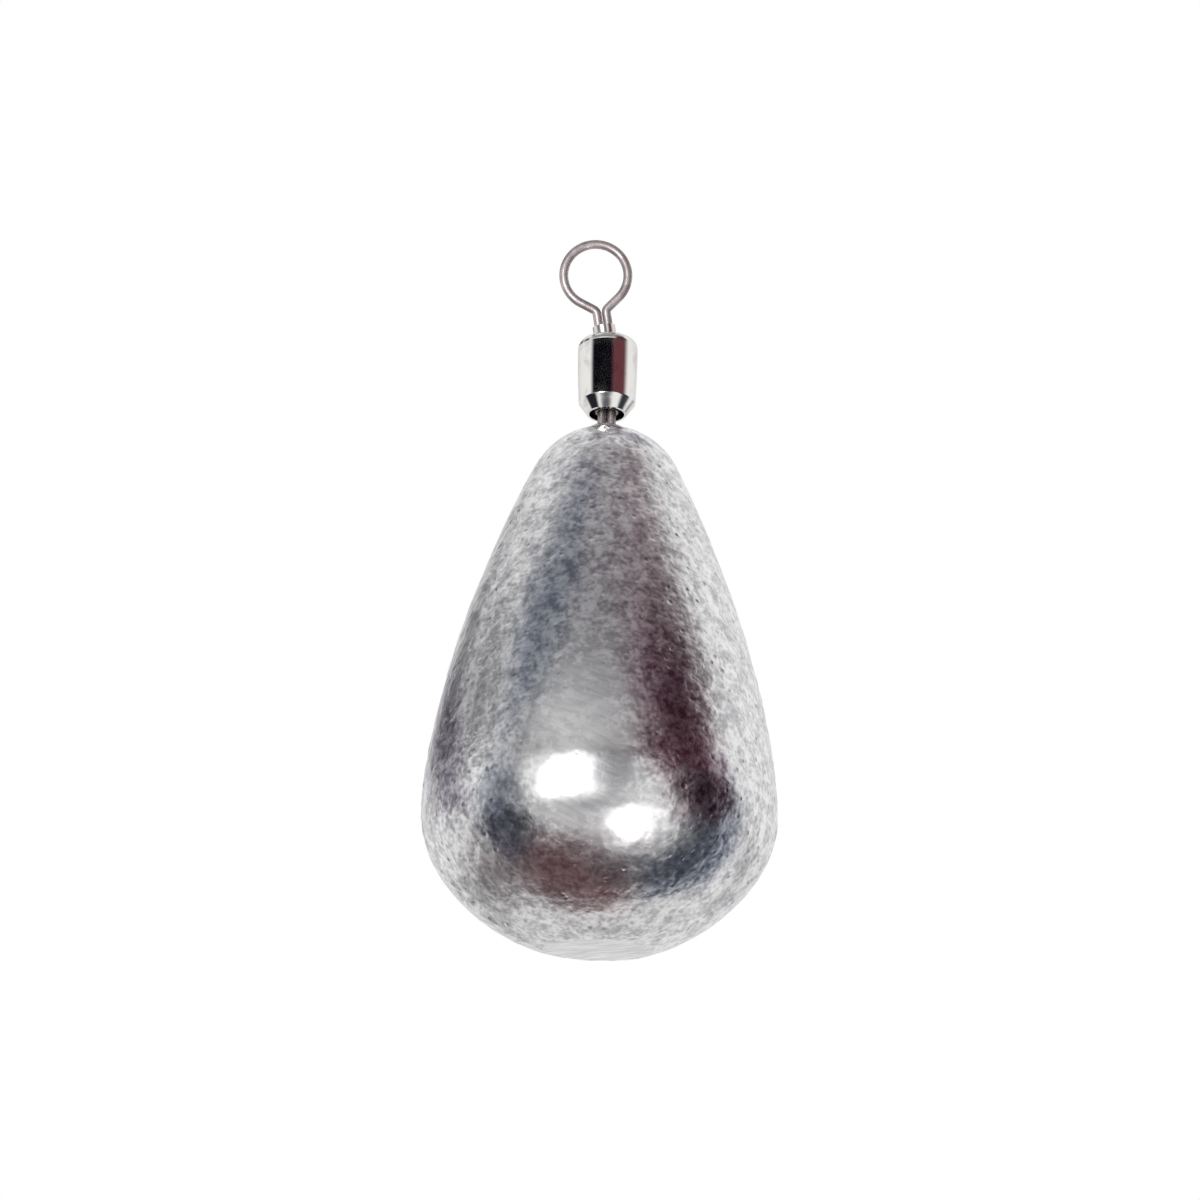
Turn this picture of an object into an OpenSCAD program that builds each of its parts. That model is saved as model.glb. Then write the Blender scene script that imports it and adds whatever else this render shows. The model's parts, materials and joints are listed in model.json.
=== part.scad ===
// Pear-shaped casting sinker with a rolling swivel cast into its top.
// It hangs as in use: +Z is up, and the origin is the centre of the upper line eye.
// All sizes are in millimetres. The swivel is worked out upwards from the barrel's lower rim,
// and place_hanging() then shifts the whole part so that the line eye comes to the origin.

/* [Lead] */
// Diameter at the belly, the widest place
belly_d = 18.9; // [17:0.1:24]
// Height from the belly up to where the round top starts
side_h = 20; // [16:0.1:28]
// Diameter where the straight side turns into the round top
neck_d = 7.95; // [6.6:0.05:10]
// How strongly the side bows out: 1 is a straight cone, 2 a parabola
side_bow = 1.66; // [1.4:0.01:2.2]
// Radius of the round that leads from the belly to the base
belly_round_r = 5.3; // [3:0.1:6]
// Depth of the shallow base below the belly
base_h = 7.5; // [6.4:0.1:8.4]
// Diameter of the low boss where the mould closed round the wire
boss_d = 2.2; // [2:0.05:3]
// Height of that boss above the round top
boss_h = 0.1; // [0.05:0.01:0.3]
// Radius in the corner at the foot of the boss
boss_fillet_r = 0.12; // [0.05:0.01:0.15]
// Radius on the boss's upper edge
boss_edge_r = 0.05; // [0.02:0.01:0.08]
// Diameter of the flat where the pouring gate was cut off
gate_d = 6; // [3:0.1:7]
// Degrees by which that cut leans to the back
gate_lean = 11; // [0:0.5:14]

/* [Wire eyes] */
// Diameter of the spring wire
wire_d = 0.48; // [0.4:0.01:0.54]
// Clear diameter inside the loop
loop_clear_d = 3; // [2.4:0.05:3.4]
// Slope of the two arms that run from the loop to the neck, in degrees
arm_slope = 36.5; // [30:0.5:44]
// Radius of the bend at the neck, on the wire's centre line
neck_bend_r = 0.35; // [0.3:0.01:0.45]
// Space between the two legs
leg_gap = 0.03; // [0.02:0.005:0.05]
// Bare length of the legs between the bead's nose and the neck
leg_show = 0.73; // [0.5:0.01:1]
// Bare length of the lower eye between the bead's nose and the lead
lead_show = 1.07; // [0.8:0.01:1.4]
// Diameter of the head upset on the ends of the legs
head_d = 1.5; // [1.3:0.05:1.6]
// Thickness of that head
head_h = 0.35; // [0.25:0.01:0.4]
// Chamfer round the free edge of the head
head_chamfer = 0.1; // [0.05:0.01:0.15]
// Play between the head and the bead it bears on
head_play = 0.03; // [0.02:0.005:0.05]

/* [Beads] */
// Diameter of the ball of the bead, which seats in the barrel's end
ball_d = 2.22; // [2.1:0.01:2.4]
// Distance from the ball's middle to the flat that the head bears on
flat_h = 0.45; // [0.4:0.01:0.5]
// Distance from the ball's middle to the tip of the nose
nose_h = 1.5; // [1.3:0.01:1.8]
// Wall of the nose at its tip
nose_wall = 0.09; // [0.06:0.01:0.11]
// Extra radius of the nose where it leaves the ball
nose_flare = 0.04; // [0.02:0.01:0.06]
// Radial play of the two legs in the bead's bore
bore_play = 0.03; // [0.02:0.005:0.04]

/* [Barrel] */
// Length over both rims
barrel_h = 4.4; // [4.2:0.05:6]
// Thickness of the wall round the cavity
barrel_wall = 0.44; // [0.35:0.01:0.8]
// Diameter of the hole in each end
hole_d = 1.9; // [1.86:0.01:1.96]
// Height of the short straight land in each hole
land_h = 0.08; // [0.05:0.01:0.1]
// Width of the flat rim round each hole
rim_w = 0.12; // [0.08:0.01:0.16]
// Height of the coned lower end
cone_h = 0.65; // [0.5:0.01:0.75]
// How far the edge above the cone stays inside the barrel's widest radius
cone_inset = 0.09; // [0.03:0.01:0.12]
// Radius of the worn edge above the cone
edge_r = 0.08; // [0.03:0.01:0.15]
// Radial play between a ball and its seat
seat_play = 0.04; // [0.03:0.005:0.05]
// Radial play between a ball and the cavity's straight wall
cavity_play = 0.07; // [0.05:0.005:0.1]

/* [Pose at rest] */
// Degrees by which the upper eye leans out of the barrel's axis
eye_lean = 15; // [0:0.5:16]
// Heading of that lean, in degrees from straight left towards the front
lean_heading = 50; // [0:1:90]
// Share of the end play in the barrel by which the lower bead sits back from its seat
bead_back_share = 0.69; // [0:0.01:0.9]

/* [Hidden] */
$fn = 72;
wire_sides = 24;
// Past the far side of a cut, so that it leaves no skin
overrun = 0.2;
// The wire is drawn a little thinner in its bends, and they run on inside the straight stretches.
bend_thinning_share = 0.015;
bend_lap = 0.04;

wire_r = wire_d / 2;
loop_r = loop_clear_d / 2 + wire_r;
leg_x = wire_r + leg_gap / 2;
ball_r = ball_d / 2;
bore_r = leg_x + wire_r + bore_play;
nose_r = bore_r + nose_wall;
hole_r = hole_d / 2;
rim_r = hole_r + rim_w;
cavity_r = ball_r + cavity_play;
barrel_r = cavity_r + barrel_wall;
cone_r = barrel_r - cone_inset;
shoulder_r = barrel_r - rim_r;

// A ball touches its seat where the sphere round it meets the inner end of the land.
seat_r = ball_r + seat_play;
seat_h = land_h + sqrt(seat_r * seat_r - hole_r * hole_r);
upper_seat_z = barrel_h - seat_h;

// Each end of the cavity is taken up by a seated ball and the head behind it.
head_end = flat_h + head_play + head_h;
end_play = upper_seat_z - seat_h - 2 * head_end;
lower_ball_z = seat_h + bead_back_share * end_play;

// The neck bend starts above the nose, and the arm then runs on as a tangent of the loop.
neck_turn = 90 - arm_slope;
bend_z = nose_h + leg_show;
arm_x = leg_x + neck_bend_r * (1 - cos(neck_turn));
arm_z = bend_z + neck_bend_r * sin(neck_turn);
loop_z = arm_z + (loop_r - arm_x * sin(arm_slope)) / cos(arm_slope);
arm_len = (loop_r * sin(arm_slope) - arm_x) / cos(arm_slope);
loop_turn = 360 - 2 * arm_slope;

// Lean of the upper eye, and where its loop comes to lie over the barrel's lower rim
lean_dir = [-cos(lean_heading), -sin(lean_heading), 0];
lean_axis = [-lean_dir[1], lean_dir[0], 0];
eye_dir = [sin(eye_lean) * lean_dir[0], sin(eye_lean) * lean_dir[1], cos(eye_lean)];
line_eye = [loop_z * eye_dir[0], loop_z * eye_dir[1], upper_seat_z + loop_z * eye_dir[2]];

// The lead: its side is a bowed cone, its top a sphere that goes on from it without a corner.
belly_r = belly_d / 2;
neck_r = neck_d / 2;
boss_r = boss_d / 2;
dome_a = atan((belly_r - neck_r) * side_bow / side_h);
dome_r = neck_r / cos(dome_a);
dome_z = side_h - dome_r * sin(dome_a);
dome_end_a = acos(boss_r / dome_r);
lead_top = dome_z + dome_r + boss_h;

// Its base is a shallow sphere that the belly's round meets without a corner.
round_x = belly_r - belly_round_r;
base_r = (base_h * base_h + round_x * round_x - belly_round_r * belly_round_r)
    / (2 * (base_h - belly_round_r));
base_z = base_r - base_h;
base_a = atan2(base_z, round_x);
belly_z = lower_ball_z - nose_h - lead_show - lead_top;

gate_r = gate_d / 2;
gate_h = sqrt(base_r * base_r - gate_r * gate_r);
profile_steps = 24;
edge_steps = 4;

steel = "silver";
brass = "darkkhaki";
plate = "gainsboro";
lead = "slategray";

function arc(radius, from, to, steps) =
    [for (i = [0:steps]) let (a = from + (to - from) * i / steps) [radius * cos(a), radius * sin(a)]];

// Points of a round of a given radius that takes the place of corner b between a and c
function round_off(a, b, c, radius, steps) =
    let (
        to_a = (a - b) / norm(a - b),
        to_c = (c - b) / norm(c - b),
        half = acos(to_a * to_c) / 2,
        middle = b + (to_a + to_c) / norm(to_a + to_c) * radius / sin(half),
        first = b + to_a * radius / tan(half) - middle,
        last = b + to_c * radius / tan(half) - middle
    )
    [for (i = [0:steps])
        let (way = first * (steps - i) + last * i)
        middle + way / norm(way) * radius];

// All but the first of some points, where the stretch before already ends on that one
function onward(points) = [for (i = [1:len(points) - 1]) points[i]];

function lift(points, rise) = [for (p = points) [p[0], p[1] + rise]];

function side_radius(share) = belly_r - (belly_r - neck_r) * pow(share, side_bow);

module place_hanging() {
    translate(-line_eye) children();
}

module place_upper() {
    place_hanging() translate([0, 0, upper_seat_z]) rotate(a = eye_lean, v = lean_axis) children();
}

module place_lower() {
    place_hanging() translate([0, 0, lower_ball_z]) rotate([180, 0, 0]) children();
}

// A bent stretch of wire in the XZ plane, from one angle over a given turn
module wire_bend(centre_x, centre_z, radius, from, turn) {
    lap = bend_lap / radius * 180 / PI;
    translate([centre_x, 0, centre_z])
        rotate([90, 0, 0])
            rotate([0, 0, from - lap])
                rotate_extrude(angle = turn + 2 * lap)
                    translate([radius, 0])
                        circle(r = wire_r * (1 - bend_thinning_share), $fn = wire_sides);
}

// One side of the neck: leg, bend and arm, up to where the loop takes over
module eye_side() {
    translate([leg_x, 0, head_h / 2 - head_end])
        cylinder(r = wire_r, h = bend_z + head_end - head_h / 2, $fn = wire_sides);
    wire_bend(leg_x + neck_bend_r, bend_z, neck_bend_r, 180 - neck_turn, neck_turn);
    translate([arm_x, 0, arm_z])
        rotate([0, neck_turn, 0])
            cylinder(r = wire_r, h = arm_len, $fn = wire_sides);
}

// The head is upset from the two wire ends, flat where it bears on the bead.
module eye_head() {
    rotate_extrude()
        polygon([
            [0, head_h - head_end],
            [0, -head_end],
            [head_d / 2 - head_chamfer, -head_end],
            [head_d / 2, head_chamfer - head_end],
            [head_d / 2, head_h - head_end]
        ]);
}

// One length of wire: a loop, two arms, a tight neck and two legs held by the head.
// Its own origin is the middle of the ball that it turns in.
module wire_eye() {
    eye_side();
    mirror([1, 0, 0]) eye_side();
    wire_bend(0, loop_z, loop_r, arm_slope - 90, loop_turn);
    eye_head();
}

// A turned bead: a ball cut flat inside, with a slim nose round the legs
module bead() {
    difference() {
        union() {
            sphere(r = ball_r);
            cylinder(r1 = nose_r + nose_flare, r2 = nose_r, h = nose_h);
        }
        translate([0, 0, -ball_r - overrun])
            cylinder(r = bore_r, h = ball_r + nose_h + 2 * overrun);
        translate([0, 0, -ball_r - overrun])
            cylinder(r = ball_r + overrun, h = ball_r + overrun - flat_h);
    }
}

module upper_eye() {
    color(steel) place_upper() wire_eye();
}

module upper_bead() {
    color(brass) place_upper() bead();
}

// The barrel is drawn with a round shoulder on top, and its lower end is swaged to a cone.
module barrel() {
    hole_a = asin(hole_r / seat_r);
    seat = arc(seat_r, hole_a - 90, 0, profile_steps / 2);
    shoulder_z = barrel_h - shoulder_r;
    taper = [for (i = [0:profile_steps / 2 - 1])
        let (share = 2 * i / profile_steps)
        [barrel_r - cone_inset * share * share, shoulder_z - (shoulder_z - cone_h) * share]];
    color(plate) place_hanging()
        rotate_extrude()
            polygon(concat(
                [[hole_r, 0]],
                lift(seat, seat_h),
                [[cavity_r, seat_h], [cavity_r, upper_seat_z]],
                [for (i = [len(seat) - 1:-1:0]) [seat[i][0], upper_seat_z - seat[i][1]]],
                [[hole_r, barrel_h]],
                [for (p = arc(shoulder_r, 90, 0, profile_steps / 2)) p + [rim_r, shoulder_z]],
                onward(taper),
                round_off(taper[len(taper) - 1], [cone_r, cone_h], [rim_r, 0], edge_r, edge_steps),
                [[rim_r, 0]]
            ));
}

module lower_bead() {
    color(brass) place_lower() bead();
}

module lower_eye() {
    color(steel) place_lower() wire_eye();
}

// Half outline of the lead, from the middle of its base up to the middle of its boss
function lead_profile() =
    let (
        foot = [boss_r, dome_z + dome_r * sin(dome_end_a)],
        brink = [boss_r, lead_top],
        dome = lift(arc(dome_r, dome_a, dome_end_a, profile_steps), dome_z)
    )
    concat(
        lift(arc(base_r, -90, -base_a, profile_steps), base_z),
        [for (p = onward(arc(belly_round_r, -base_a, 0, profile_steps))) p + [round_x, 0]],
        [for (i = [1:profile_steps]) [side_radius(i / profile_steps), side_h * i / profile_steps]],
        [for (i = [1:profile_steps - 1]) dome[i]],
        round_off(dome[profile_steps - 1], foot, brink, boss_fillet_r, edge_steps),
        round_off(foot, brink, [0, lead_top], boss_edge_r, edge_steps),
        [[0, lead_top]]
    );

// What the cutters took off with the gate, round the middle of the base's sphere
module gate_cut() {
    translate([0, 0, base_z])
        rotate([gate_lean, 0, 0])
            translate([0, 0, -base_r - overrun])
                cylinder(r = gate_r + overrun, h = base_r + overrun - gate_h);
}

// The lead is cast round the lower eye, so its cavity is the wire itself.
module lead_body() {
    color(lead) difference() {
        place_hanging() translate([0, 0, belly_z]) difference() {
            rotate_extrude() polygon(lead_profile());
            gate_cut();
        }
        place_lower() wire_eye();
    }
}

upper_eye();
upper_bead();
barrel();
lower_bead();
lower_eye();
lead_body();
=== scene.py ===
"""Looks of a pear-shaped casting sinker that hangs from a rolling swivel cast into its top."""
import sys
import json
import logging
from dataclasses import dataclass
from enum import Enum
from math import acos, atan, atan2, cos, degrees, pi, radians, sin, sqrt, tan
from typing import Any, Optional, Sequence

import bmesh
import bpy
from mathutils import Matrix, Vector, noise


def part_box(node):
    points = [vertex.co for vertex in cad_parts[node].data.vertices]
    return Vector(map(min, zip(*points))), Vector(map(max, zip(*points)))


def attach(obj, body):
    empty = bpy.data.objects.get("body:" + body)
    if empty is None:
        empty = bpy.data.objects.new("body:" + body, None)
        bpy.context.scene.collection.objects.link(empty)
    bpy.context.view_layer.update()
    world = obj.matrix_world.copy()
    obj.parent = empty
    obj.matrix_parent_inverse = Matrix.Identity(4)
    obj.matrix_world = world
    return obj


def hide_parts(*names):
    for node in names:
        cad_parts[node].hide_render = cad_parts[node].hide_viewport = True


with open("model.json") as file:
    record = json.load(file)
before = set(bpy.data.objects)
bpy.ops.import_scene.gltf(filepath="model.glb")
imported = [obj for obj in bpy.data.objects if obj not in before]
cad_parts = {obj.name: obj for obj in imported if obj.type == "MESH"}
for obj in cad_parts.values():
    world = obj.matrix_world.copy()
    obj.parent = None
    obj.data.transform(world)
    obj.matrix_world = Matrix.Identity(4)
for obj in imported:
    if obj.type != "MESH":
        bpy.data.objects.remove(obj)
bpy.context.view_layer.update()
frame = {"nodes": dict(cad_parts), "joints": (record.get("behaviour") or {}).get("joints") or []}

MM = 0.001

log = logging.getLogger("sinker")

Colour = tuple[float, float, float]
RingPoint = tuple[float, float]


class Slot(Enum):
    """The record's material slots of the pieces that are modelled here."""

    CAST_LEAD = "cast_lead"
    SPRING_WIRE = "spring_wire"


class End(Enum):
    """The two ends of the swivel's barrel."""

    UPPER = "upper"
    LOWER = "lower"


def falloff(distance: float, reach: float) -> float:
    """Fade smoothly with distance.

    Args:
        distance: how far away.
        reach: where nothing is left.

    Returns:
        The share that is left, from 1 at no distance to 0.
    """
    return max(0.0, 1 - (distance / reach) ** 2) ** 2


# ---- Finishes


class NodeSheet:
    """A node tree, with a short way to lay each kind of node."""

    # Socket numbers of a Mix node that blends colours.
    MIX_SHARE, MIX_FIRST, MIX_SECOND, MIX_RESULT = 0, 6, 7, 2

    def __init__(self, owner: Any) -> None:
        """Take over the node tree of a material or world, and empty it.

        Args:
            owner: the material or world.
        """
        owner.use_nodes = True
        self.tree = owner.node_tree
        self.tree.nodes.clear()

    def add(self, kind: str, **settings: Any) -> bpy.types.Node:
        """Add a node and set its properties.

        Args:
            kind: the node's type.
            settings: properties and their values.

        Returns:
            The new node.
        """
        node = self.tree.nodes.new(kind)
        for name, value in settings.items():
            setattr(node, name, value)
        return node

    def feed(self, node: bpy.types.Node, socket: Any, value: Any) -> None:
        """Give an input a value, or link it if the value is another node's output.

        Args:
            node: the node to feed.
            socket: the input's name or number.
            value: a number, a colour or an output socket.
        """
        if isinstance(value, bpy.types.NodeSocket):
            self.tree.links.new(value, node.inputs[socket])
        else:
            node.inputs[socket].default_value = value

    def span(
        self, value: Any, low: float, high: float, to_low: float = 0.0, to_high: float = 1.0
    ) -> bpy.types.NodeSocket:
        """Map a stretch of values smoothly onto another.

        Args:
            value: what to map.
            low: where the stretch starts.
            high: where it ends.
            to_low: result at the start and before it.
            to_high: result at the end and past it.

        Returns:
            The mapped value.
        """
        node = self.add("ShaderNodeMapRange", interpolation_type="SMOOTHSTEP")
        names = ("Value", "From Min", "From Max", "To Min", "To Max")
        for name, given in zip(names, (value, low, high, to_low, to_high)):
            self.feed(node, name, given)
        return node.outputs["Result"]

    def sum(self, operation: str, a: Any, b: Any = 0.0) -> bpy.types.NodeSocket:
        """Do one sum on one or two values.

        Args:
            operation: the Math node's operation.
            a: first value or socket.
            b: second value or socket.

        Returns:
            The result.
        """
        node = self.add("ShaderNodeMath", operation=operation)
        self.feed(node, 0, a)
        self.feed(node, 1, b)
        return node.outputs["Value"]

    def tint(self, share: Any, a: Any, b: Any) -> bpy.types.NodeSocket:
        """Blend two colours.

        Args:
            share: how much of the second colour shows.
            a: first colour or socket.
            b: second colour or socket.

        Returns:
            The blended colour.
        """
        node = self.add("ShaderNodeMix", data_type="RGBA")
        self.feed(node, self.MIX_SHARE, share)
        for number, colour in ((self.MIX_FIRST, a), (self.MIX_SECOND, b)):
            self.feed(node, number, colour if isinstance(colour, bpy.types.NodeSocket) else (*colour, 1))
        return node.outputs[self.MIX_RESULT]


class ShaderSheet(NodeSheet):
    """One material's node tree."""

    def __init__(self, name: str) -> None:
        """Start an empty material.

        Args:
            name: the material's name.
        """
        self.material = bpy.data.materials.new(name)
        super().__init__(self.material)
        self.place = self.add("ShaderNodeTexCoord").outputs["Object"]

    def mark(self, name: str) -> bpy.types.NodeSocket:
        """Return one of the piece's own vertex marks.

        Args:
            name: the mark's name.

        Returns:
            Its value, from 0 to 1.
        """
        return self.add("ShaderNodeAttribute", attribute_name=name).outputs["Fac"]

    def stretched(self, scale: Sequence[float], turn: Sequence[float] = (0, 0, 0)) -> bpy.types.NodeSocket:
        """Return Object coordinates for a pattern that is longer one way than another.

        Args:
            scale: how many times longer the pattern is along each of its axes.
            turn: how its axes are turned, in degrees.

        Returns:
            The mapped coordinates.
        """
        node = self.add("ShaderNodeMapping", vector_type="TEXTURE")
        self.feed(node, "Vector", self.place)
        node.inputs["Scale"].default_value = scale
        node.inputs["Rotation"].default_value = [radians(a) for a in turn]
        return node.outputs["Vector"]

    def grain(
        self,
        size_mm: float,
        detail: float = 2.0,
        rough: float = 0.5,
        twist: float = 0.0,
        place: Optional[bpy.types.NodeSocket] = None,
    ) -> bpy.types.NodeSocket:
        """Add fractal noise with features of about a given size.

        Args:
            size_mm: size of the largest features.
            detail: how many finer layers it has.
            rough: how strong the finer layers are.
            twist: how much the pattern distorts itself.
            place: coordinates other than the plain ones.

        Returns:
            The noise, from 0 to 1.
        """
        node = self.add("ShaderNodeTexNoise", noise_dimensions="3D")
        self.feed(node, "Vector", place or self.place)
        settings = {"Scale": 1 / (size_mm * MM), "Detail": detail, "Roughness": rough, "Distortion": twist}
        for name, value in settings.items():
            node.inputs[name].default_value = value
        return node.outputs["Fac"]

    def cells(self, size_mm: float) -> bpy.types.NodeSocket:
        """Add Voronoi cells of about a given size.

        Args:
            size_mm: size of a cell.

        Returns:
            The distance to the cell's point.
        """
        node = self.add("ShaderNodeTexVoronoi", voronoi_dimensions="3D", feature="F1")
        self.feed(node, "Vector", self.place)
        node.inputs["Scale"].default_value = 1 / (size_mm * MM)
        return node.outputs["Distance"]

    def relief(
        self, height: Any, depth_mm: float, under: Optional[bpy.types.NodeSocket] = None
    ) -> bpy.types.NodeSocket:
        """Raise a bump of a given real depth.

        Args:
            height: the height pattern, from 0 to 1.
            depth_mm: how far apart its lows and highs are.
            under: an earlier bump that this one lies on.

        Returns:
            The bent normal.
        """
        node = self.add("ShaderNodeBump")
        node.inputs["Strength"].default_value = 1.0
        node.inputs["Distance"].default_value = depth_mm * MM
        self.feed(node, "Height", height)
        if under is not None:
            self.feed(node, "Normal", under)
        return node.outputs["Normal"]

    def metal(
        self,
        colour: bpy.types.NodeSocket,
        rough: bpy.types.NodeSocket,
        normal: bpy.types.NodeSocket,
        edge: Colour,
    ) -> bpy.types.Material:
        """Close the sheet with a metal surface.

        Args:
            colour: base colour.
            rough: roughness.
            normal: the bent normal.
            edge: the metal's own tint near grazing angles.

        Returns:
            The finished material.
        """
        shader = self.add("ShaderNodeBsdfPrincipled")
        shader.inputs["Metallic"].default_value = 1.0
        shader.inputs["Specular Tint"].default_value = (*edge, 1)
        for name, value in (("Base Color", colour), ("Roughness", rough), ("Normal", normal)):
            self.feed(shader, name, value)
        out = self.add("ShaderNodeOutputMaterial")
        self.feed(out, "Surface", shader.outputs["BSDF"])
        return self.material


@dataclass(frozen=True)
class Trace:
    """Where the lead's skin differs, marked on its mesh.

    It follows paths over the skin: x, y, height and half width of each station, in millimetres from
    the middle of the belly, and how strong it is there.
    """

    # It fades out over this many half widths, and no further above or below than the margin.
    SPREAD = 2.2
    MARGIN = 5.0

    mark: str
    paths: tuple[tuple[tuple[float, float, float, float, float], ...], ...]

    def strength(self, place: Vector) -> float:
        """Find how strong it is at a place.

        Args:
            place: the place, in millimetres from the middle of the belly.

        Returns:
            The strength, from 0 to 1.
        """
        best = 0.0
        for path in self.paths:
            for (*first, half, share), (*last, last_half, last_share) in zip(path, path[1:]):
                if not min(first[2], last[2]) - self.MARGIN < place.z < max(first[2], last[2]) + self.MARGIN:
                    continue
                start, step = Vector(first), Vector(last) - Vector(first)
                along = min(1.0, max(0.0, (place - start).dot(step) / step.length_squared))
                away = (place - start - step * along).length
                reach = self.SPREAD * (half + (last_half - half) * along)
                best = max(best, falloff(away, reach) * (share + (last_share - share) * along))
        return best


@dataclass(frozen=True)
class OxideAndPaintedLight(Trace):
    """An oxide tint on the lead, deeper in some blotches than in others; on the front its paths also paint
    reflections and shade into the colour.
    """

    deep: Colour
    thin: Colour


@dataclass(frozen=True)
class CastLead:
    """Blotched cast skin with oxide tints that also paint reflections and shade, rubbed brighter on the
    belly, and filed where the gate was.

    Each pattern's share in the mottle says how much of it shows, and each depth is how deep its bump is.
    A span is where a pattern starts and ends, and what it gives at both.
    """

    bright: Colour = (0.86, 0.855, 0.85)
    dull: Colour = (0.44, 0.435, 0.45)
    hollow: Colour = (0.16, 0.15, 0.17)
    filed: Colour = (0.58, 0.58, 0.57)
    edge: Colour = (0.95, 0.95, 0.96)
    blotch_mm: float = 0.75
    fine_mm: float = 0.25
    cloud_mm: float = 2.4
    pit_mm: float = 1.0
    wipe_mm: float = 0.3
    stroke_mm: float = 0.2
    blotch_share: float = 0.5
    fine_share: float = 0.38
    cloud_share: float = 0.12
    blotch_depth: float = 0.045
    fine_depth: float = 0.009
    pit_depth: float = 0.025
    stroke_depth: float = 0.006
    pit_span: tuple[float, ...] = (0.03, 0.2, 1.0, 0.0)
    pit_dark: float = 0.6
    worn_span: tuple[float, ...] = (0.2, 1.05)
    worn_cloud: float = 0.3
    pale_span: tuple[float, ...] = (0.34, 0.64)
    wipe_span: tuple[float, ...] = (0.3, 0.7, 0.5, 0.95)
    wipe_lean: float = -65.0
    stroke_span: tuple[float, ...] = (0.35, 0.7)
    stroke_lean: float = 62.0
    oxide_and_light_span: tuple[float, ...] = (0.08, 1.1, 0.0, 0.95)
    oxide_and_light_tints: tuple[float, ...] = (0.34, 0.62)
    oxide_and_light_mottle: float = 0.9
    polish: float = 0.84
    rough_span: tuple[float, ...] = (0.3, 1.0, 0.25, 0.26)
    rough_extra: float = 0.06
    rubbed: Trace = Trace("rubbed", (
        ((-0.4, -8.8, 5.6, 1.8, 0.5), (-0.8, -9.2, 2.8, 2.6, 0.9), (-1.8, -9.1, -1.2, 2.4, 1.0),
         (1.6, -7.9, -3.6, 2.0, 1.0)),
        ((2.0, 8.6, 1.0, 2.4, 0.8), (3.6, 7.6, -3.0, 2.0, 0.9)),
    ))
    oxide_and_painted_light: tuple[OxideAndPaintedLight, ...] = (
        # Blue tint: the first two paths paint reflected blue on the front over an oxide tint, the streak
        # down the left and the dark patch low on the right; the third is an oxide stain on the back.
        OxideAndPaintedLight("blue_oxide_and_reflection", (
            ((-1.0, -4.7, 18.2, 0.8, 0.55), (-1.6, -6.0, 14.6, 1.0, 0.7), (-2.3, -7.0, 11.2, 1.2, 0.8),
             (-3.1, -7.5, 8.7, 1.3, 0.8), (-3.8, -7.9, 5.6, 1.2, 0.8), (-4.7, -8.0, 2.7, 1.0, 0.5),
             (-5.3, -7.8, -0.2, 0.9, 0.6), (-5.4, -6.8, -2.8, 1.3, 1.0), (-4.4, -6.1, -4.3, 1.1, 0.9)),
            ((3.3, -5.0, -5.6, 1.2, 0.9), (5.6, -4.8, -4.4, 1.4, 1.0), (6.5, -6.0, -2.6, 1.5, 1.0),
             (6.0, -7.0, -0.8, 1.2, 0.8)),
            ((3.0, 6.6, 9.0, 1.6, 0.5), (4.4, 7.5, 3.4, 2.2, 0.8), (3.2, 8.2, -1.4, 1.6, 0.6)),
        ), (0.17, 0.19, 0.25), (0.40, 0.43, 0.50)),
        # Violet tint: the first path paints the dark violet reflection at the front left edge over an oxide
        # tint, the next two paint the barrel's shade on the dome as a dark crescent, and the last is an
        # oxide stain on the back.
        OxideAndPaintedLight("violet_oxide_reflection_and_shade", (
            ((-8.3, -2.3, 6.6, 1.2, 0.7), (-8.4, -3.7, 2.8, 1.9, 1.0), (-7.8, -5.1, -0.8, 1.3, 0.9)),
            ((0.8, -3.1, 21.1, 0.35, 0.9), (1.5, -3.1, 20.9, 0.4, 1.0), (2.2, -2.9, 20.6, 0.35, 0.7)),
            ((-1.3, -3.4, 20.6, 0.35, 0.6), (-0.6, -3.5, 20.8, 0.35, 0.7)),
            ((-5.6, 3.4, 12.0, 1.0, 0.5), (-7.4, 4.6, 6.0, 1.6, 0.9)),
        ), (0.10, 0.085, 0.12), (0.29, 0.265, 0.32)),
        # Purple tint: the first path paints the maroon reflection down the front right over an oxide tint;
        # the second is an oxide stain on the back.
        OxideAndPaintedLight("purple_oxide_and_reflection", (
            ((0.6, -4.6, 18.6, 1.5, 0.36), (1.0, -6.1, 14.7, 1.9, 0.4), (2.0, -7.3, 10.7, 2.0, 0.45),
             (3.0, -8.0, 6.8, 1.8, 0.75), (3.5, -8.4, 3.8, 1.8, 1.0), (4.2, -8.4, 0.9, 1.9, 1.0),
             (5.5, -7.4, -1.5, 1.6, 1.0)),
            ((-1.8, 5.2, 15.0, 1.0, 0.4), (-3.4, 7.0, 8.6, 1.5, 0.6), (-4.6, 8.0, 1.4, 2.0, 0.7)),
        ), (0.15, 0.045, 0.082), (0.41, 0.285, 0.335)),
        # Brown tint: the first path paints the brown reflection low on the front over an oxide tint; the
        # second is an oxide stain on the back.
        OxideAndPaintedLight("brown_oxide_and_reflection", (
            ((-2.3, -5.8, -5.4, 1.5, 0.9), (0.1, -5.2, -6.1, 1.6, 0.9)),
            ((4.4, 5.0, -4.8, 1.6, 0.8), (2.0, 6.2, -5.0, 1.4, 0.6)),
        ), (0.36, 0.23, 0.24), (0.60, 0.46, 0.47)),
    )

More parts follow.
